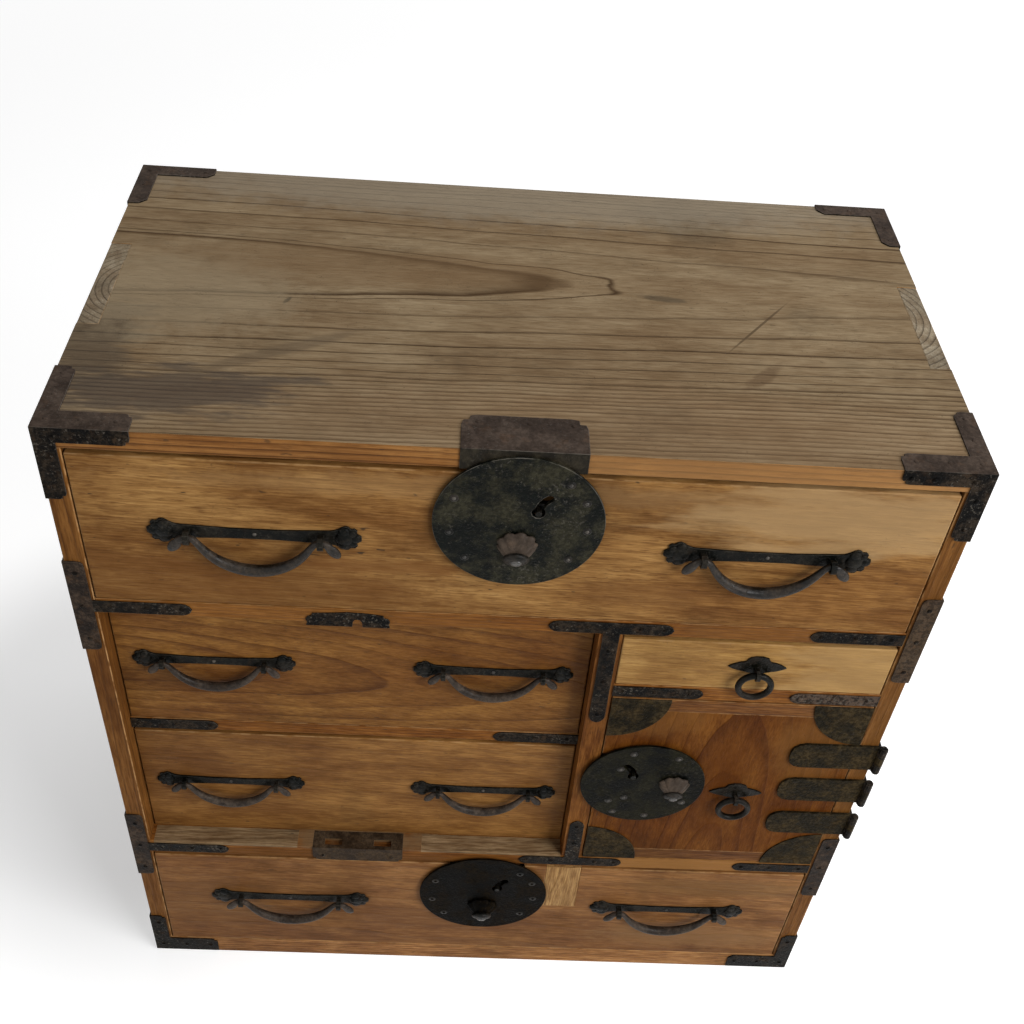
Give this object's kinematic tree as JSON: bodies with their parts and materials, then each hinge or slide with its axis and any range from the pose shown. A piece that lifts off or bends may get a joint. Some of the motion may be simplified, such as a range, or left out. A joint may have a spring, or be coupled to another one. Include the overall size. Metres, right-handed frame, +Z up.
{
  "type": "tansu chest",
  "caption": "Small wooden chest with full-width drawers above and below, recessed drawers at the left, a small drawer over a hinged door at the right, iron locks, corners and swinging handles.",
  "frame": {"origin": "centre of the base, on the surface that the chest stands on", "axes": "+X to the right seen from the front, +Y from the front to the back, +Z up"},
  "size_m": [0.608, 0.3445, 0.6392],
  "materials": {
    "top_wood": "old oiled zelkova, olive brown with cathedral figure, satin",
    "case_wood": "old oiled zelkova, orange brown, satin",
    "drawer_wood": "old oiled zelkova, tan to brown, satin",
    "door_wood": "old oiled zelkova, reddish brown, satin",
    "pale_wood": "paler zelkova, satin",
    "patch_wood": "pale new wood of a repair, satin",
    "worn_wood": "greyish worn wood, matte",
    "plain_wood": "unfinished paulownia, matte",
    "black_iron": "wrought iron with a dark lacquer, worn satin",
    "brown_iron": "wrought iron with a brown patina, satin"
  },
  "bodies": {
    "case": {"top_board": "top_wood", "bottom_board": "case_wood", "side_board_left": "case_wood", "side_board_right": "case_wood", "divider": "case_wood", "back_boards": "plain_wood", "upper_rail": "case_wood", "lower_rail": "case_wood", "ledge_inlays": "worn_wood", "middle_rail_left": "case_wood", "middle_rail_right": "case_wood", "dust_boards": "plain_wood", "corner_irons_top": "brown_iron", "corner_irons_bottom": "brown_iron", "side_bands": "brown_iron", "rail_straps": "black_iron", "divider_tees": "black_iron", "lock_strike_plate": "brown_iron", "bar_strikes": "brown_iron", "hinge_side_leaves": "black_iron", "hinge_pins": "black_iron"},
    "top_drawer_bail_left": {"top_drawer_bail_left": "black_iron"},
    "top_drawer_bail_right": {"top_drawer_bail_right": "black_iron"},
    "top_drawer_latch": {"top_drawer_latch": "black_iron"},
    "top_drawer": {"top_drawer_front": "drawer_wood", "top_drawer_box": "plain_wood", "top_drawer_handle_plates": "black_iron", "top_drawer_lock_plate": "black_iron"},
    "upper_left_drawer_bail_left": {"upper_left_drawer_bail_left": "black_iron"},
    "upper_left_drawer_bail_right": {"upper_left_drawer_bail_right": "black_iron"},
    "upper_left_drawer": {"upper_left_drawer_front": "drawer_wood", "upper_left_drawer_box": "plain_wood", "upper_left_drawer_handle_plates": "black_iron"},
    "lower_left_drawer_bail_left": {"lower_left_drawer_bail_left": "black_iron"},
    "lower_left_drawer_bail_right": {"lower_left_drawer_bail_right": "black_iron"},
    "lower_left_drawer": {"lower_left_drawer_front": "drawer_wood", "lower_left_drawer_box": "plain_wood", "lower_left_drawer_handle_plates": "black_iron"},
    "small_drawer_ring": {"small_drawer_ring": "black_iron"},
    "small_drawer": {"small_drawer_front": "pale_wood", "small_drawer_box": "plain_wood", "small_drawer_ring_plate": "black_iron"},
    "bottom_drawer_bail_left": {"bottom_drawer_bail_left": "black_iron"},
    "bottom_drawer_bail_right": {"bottom_drawer_bail_right": "black_iron"},
    "bottom_drawer_latch": {"bottom_drawer_latch": "black_iron"},
    "bottom_drawer": {"bottom_drawer_front": "drawer_wood", "bottom_drawer_box": "plain_wood", "bottom_drawer_patch": "patch_wood", "bottom_drawer_handle_plates": "black_iron", "bottom_drawer_lock_plate": "black_iron"},
    "door": {"door_panel": "door_wood", "door_battens": "door_wood", "door_corner_plates": "black_iron", "door_lock_plate": "black_iron", "door_ring_plate": "black_iron", "door_hinge_straps": "black_iron"},
    "door_latch": {"door_latch": "black_iron"},
    "door_ring": {"door_ring": "black_iron"}
  },
  "joints": [
    {"name": "top_drawer_slide", "type": "slide", "parent": "case", "child": "top_drawer", "axis": [0, -1, 0], "range_m": [0, 0.25]},
    {"name": "top_drawer_bail_left_swing", "type": "hinge", "parent": "top_drawer", "child": "top_drawer_bail_left", "pos_m": [-0.1702, -0.1718, 0.5563], "axis": [-1, 0, 0], "range_deg": [0, 95]},
    {"name": "top_drawer_bail_right_swing", "type": "hinge", "parent": "top_drawer", "child": "top_drawer_bail_right", "pos_m": [0.1702, -0.1718, 0.5563], "axis": [-1, 0, 0], "range_deg": [0, 95]},
    {"name": "top_drawer_latch_turn", "type": "hinge", "parent": "top_drawer", "child": "top_drawer_latch", "pos_m": [0.029, -0.1623, 0.5898], "axis": [0, 1, 0], "range_deg": [0, 55]},
    {"name": "upper_left_drawer_slide", "type": "slide", "parent": "case", "child": "upper_left_drawer", "axis": [0, -1, 0], "range_m": [0, 0.235]},
    {"name": "upper_left_drawer_bail_left_swing", "type": "hinge", "parent": "upper_left_drawer", "child": "upper_left_drawer_bail_left", "pos_m": [-0.213, -0.15485, 0.40737], "axis": [-1, 0, 0], "range_deg": [0, 95]},
    {"name": "upper_left_drawer_bail_right_swing", "type": "hinge", "parent": "upper_left_drawer", "child": "upper_left_drawer_bail_right", "pos_m": [-0.005, -0.15485, 0.40737], "axis": [-1, 0, 0], "range_deg": [0, 95]},
    {"name": "lower_left_drawer_slide", "type": "slide", "parent": "case", "child": "lower_left_drawer", "axis": [0, -1, 0], "range_m": [0, 0.235]},
    {"name": "lower_left_drawer_bail_left_swing", "type": "hinge", "parent": "lower_left_drawer", "child": "lower_left_drawer_bail_left", "pos_m": [-0.213, -0.15485, 0.25512], "axis": [-1, 0, 0], "range_deg": [0, 95]},
    {"name": "lower_left_drawer_bail_right_swing", "type": "hinge", "parent": "lower_left_drawer", "child": "lower_left_drawer_bail_right", "pos_m": [-0.005, -0.15485, 0.25512], "axis": [-1, 0, 0], "range_deg": [0, 95]},
    {"name": "small_drawer_slide", "type": "slide", "parent": "case", "child": "small_drawer", "axis": [0, -1, 0], "range_m": [0, 0.25]},
    {"name": "small_drawer_ring_swing", "type": "hinge", "parent": "small_drawer", "child": "small_drawer_ring", "pos_m": [0.186, -0.1715, 0.4418], "axis": [-1, 0, 0], "range_deg": [0, 95]},
    {"name": "bottom_drawer_slide", "type": "slide", "parent": "case", "child": "bottom_drawer", "axis": [0, -1, 0], "range_m": [0, 0.25]},
    {"name": "bottom_drawer_bail_left_swing", "type": "hinge", "parent": "bottom_drawer", "child": "bottom_drawer_bail_left", "pos_m": [-0.1702, -0.1718, 0.1023], "axis": [-1, 0, 0], "range_deg": [0, 95]},
    {"name": "bottom_drawer_bail_right_swing", "type": "hinge", "parent": "bottom_drawer", "child": "bottom_drawer_bail_right", "pos_m": [0.1702, -0.1718, 0.1023], "axis": [-1, 0, 0], "range_deg": [0, 95]},
    {"name": "bottom_drawer_latch_turn", "type": "hinge", "parent": "bottom_drawer", "child": "bottom_drawer_latch", "pos_m": [0.029, -0.1623, 0.1328], "axis": [0, 1, 0], "range_deg": [0, 55]},
    {"name": "door_swing", "type": "hinge", "parent": "case", "child": "door", "pos_m": [0.3035, -0.1685, 0.2945], "axis": [0, 0, 1], "range_deg": [0, 175]},
    {"name": "door_latch_turn", "type": "hinge", "parent": "door", "child": "door_latch", "pos_m": [0.0975, -0.1626, 0.309], "axis": [0, -1, 0], "range_deg": [0, 55]},
    {"name": "door_ring_swing", "type": "hinge", "parent": "door", "child": "door_ring", "pos_m": [0.199, -0.1718, 0.286], "axis": [-1, 0, 0], "range_deg": [0, 95]}
  ]
}
